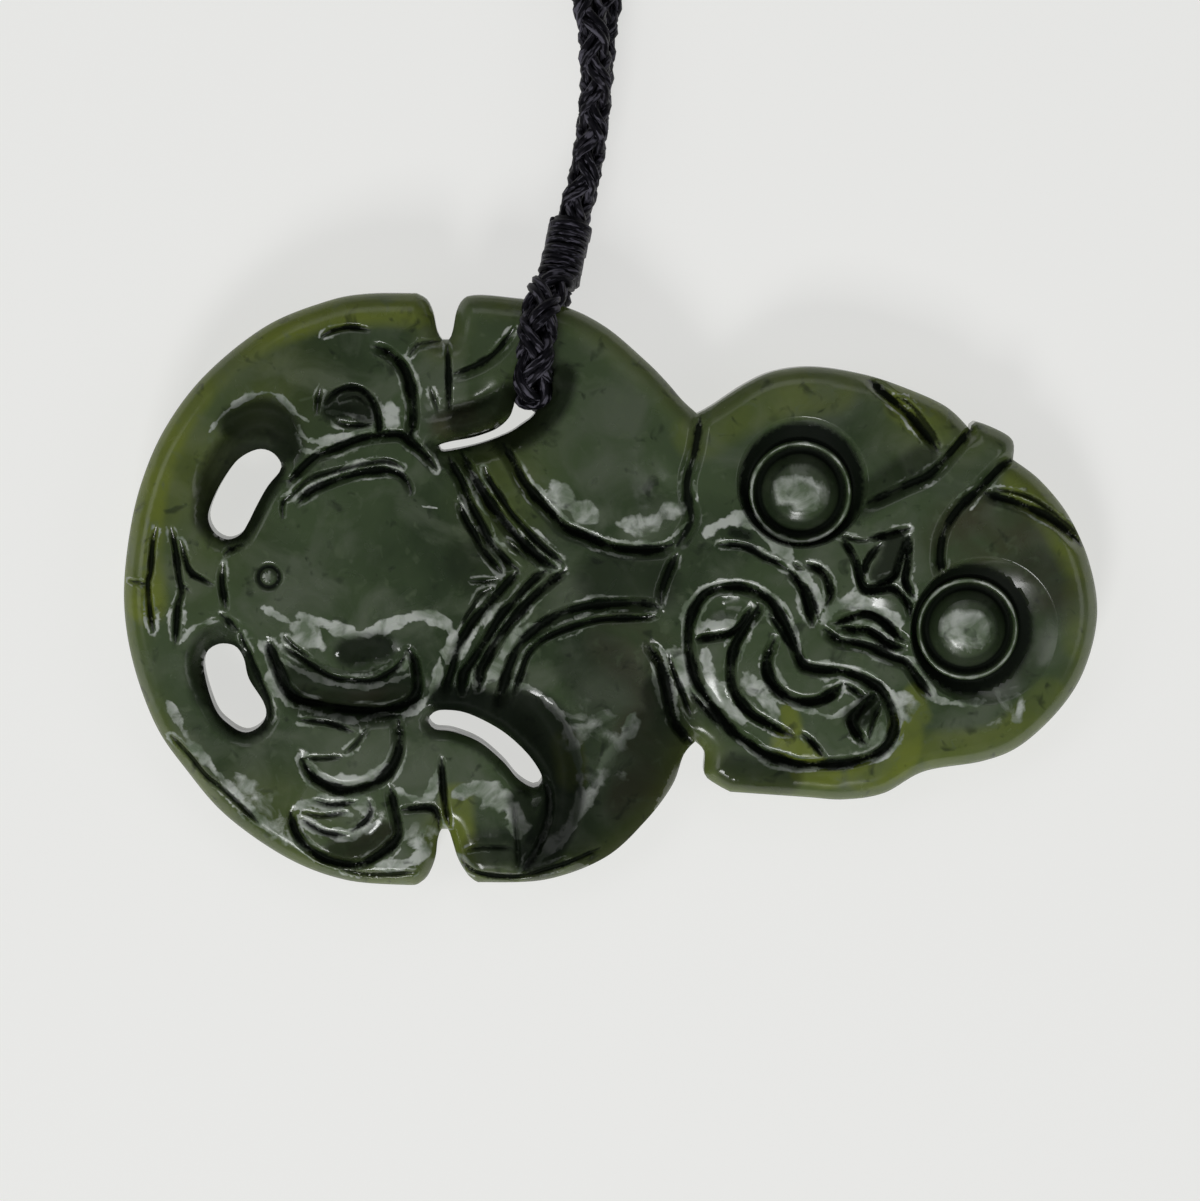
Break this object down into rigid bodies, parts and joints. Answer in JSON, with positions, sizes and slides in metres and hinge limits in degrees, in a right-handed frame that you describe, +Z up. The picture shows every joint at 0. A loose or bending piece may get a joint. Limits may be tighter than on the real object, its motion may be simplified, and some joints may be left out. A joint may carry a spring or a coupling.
{
  "type": "hei tiki pendant",
  "caption": "Carved greenstone figure with its head turned to one side, hands on belly and thigh, pierced round the arms and legs, on a closed loop of black braided cord bound above the arm",
  "frame": {"origin": "on the surface that the pendant lies on, under the middle of the carved stone's box", "axes": "+X runs along the figure from its feet to the crown of its head, +Y towards the neck loop, +Z up out of the figure's front"},
  "size_m": [0.1568, 0.3061, 0.0105],
  "materials": {
    "greenstone": "polished",
    "black_cord": "waxed braid",
    "black_thread": "waxed thread"
  },
  "bodies": {
    "root": {"tiki_stone": "greenstone", "bail_loop": "black_cord", "whipping": "black_thread", "neck_cord": "black_cord"}
  },
  "joints": []
}
